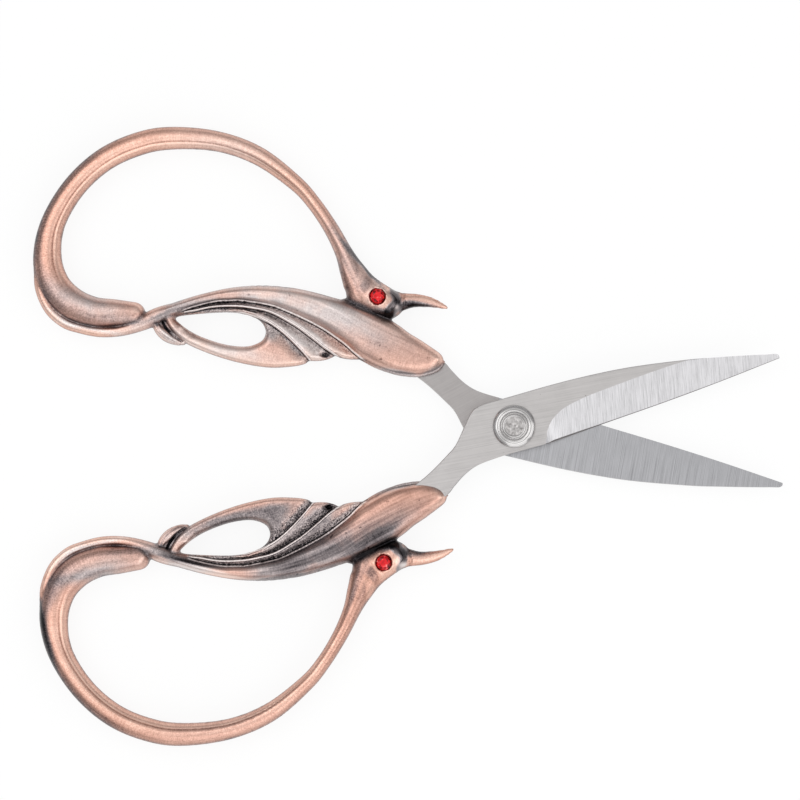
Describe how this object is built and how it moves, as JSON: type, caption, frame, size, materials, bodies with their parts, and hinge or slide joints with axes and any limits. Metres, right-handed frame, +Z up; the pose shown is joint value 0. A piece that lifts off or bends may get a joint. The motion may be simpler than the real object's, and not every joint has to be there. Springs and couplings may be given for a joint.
{
  "type": "craft scissors",
  "caption": "Small straight-bladed craft scissors, slim steel blades on a rivet and cast handles shaped as long-necked birds with red stone eyes.",
  "frame": {"origin": "on the pivot axis, in the plane the scissors lie on, which is the flat face of the rear rivet head", "axes": "+X towards the blade tips, along the bisector of the blades; +Y towards the upper handle; +Z up, along the pivot axis, towards the front face"},
  "size_m": [0.1224, 0.1018, 0.006],
  "materials": {
    "blade_steel": "brushed lengthwise on the flats, ground across on the bevels",
    "pivot_steel": "turned and bright",
    "antique_copper": "antique copper plate, satin on the high places and dark in the hollows",
    "red_stone": "faceted, foil backed"
  },
  "bodies": {
    "rear_half": {"rear_blade": "blade_steel", "upper_handle": "antique_copper", "upper_front_gem": "red_stone", "upper_back_gem": "red_stone", "pivot_rivet": "pivot_steel", "front_washer": "pivot_steel", "rear_washer": "pivot_steel"},
    "front_half": {"front_blade": "blade_steel", "lower_handle": "antique_copper", "lower_front_gem": "red_stone", "lower_back_gem": "red_stone"}
  },
  "joints": [
    {"name": "pivot_hinge", "type": "hinge", "parent": "rear_half", "child": "front_half", "pos_m": [0, 0, 0.003], "axis": [0, 0, 1], "range_deg": [-26.7, 85]}
  ]
}
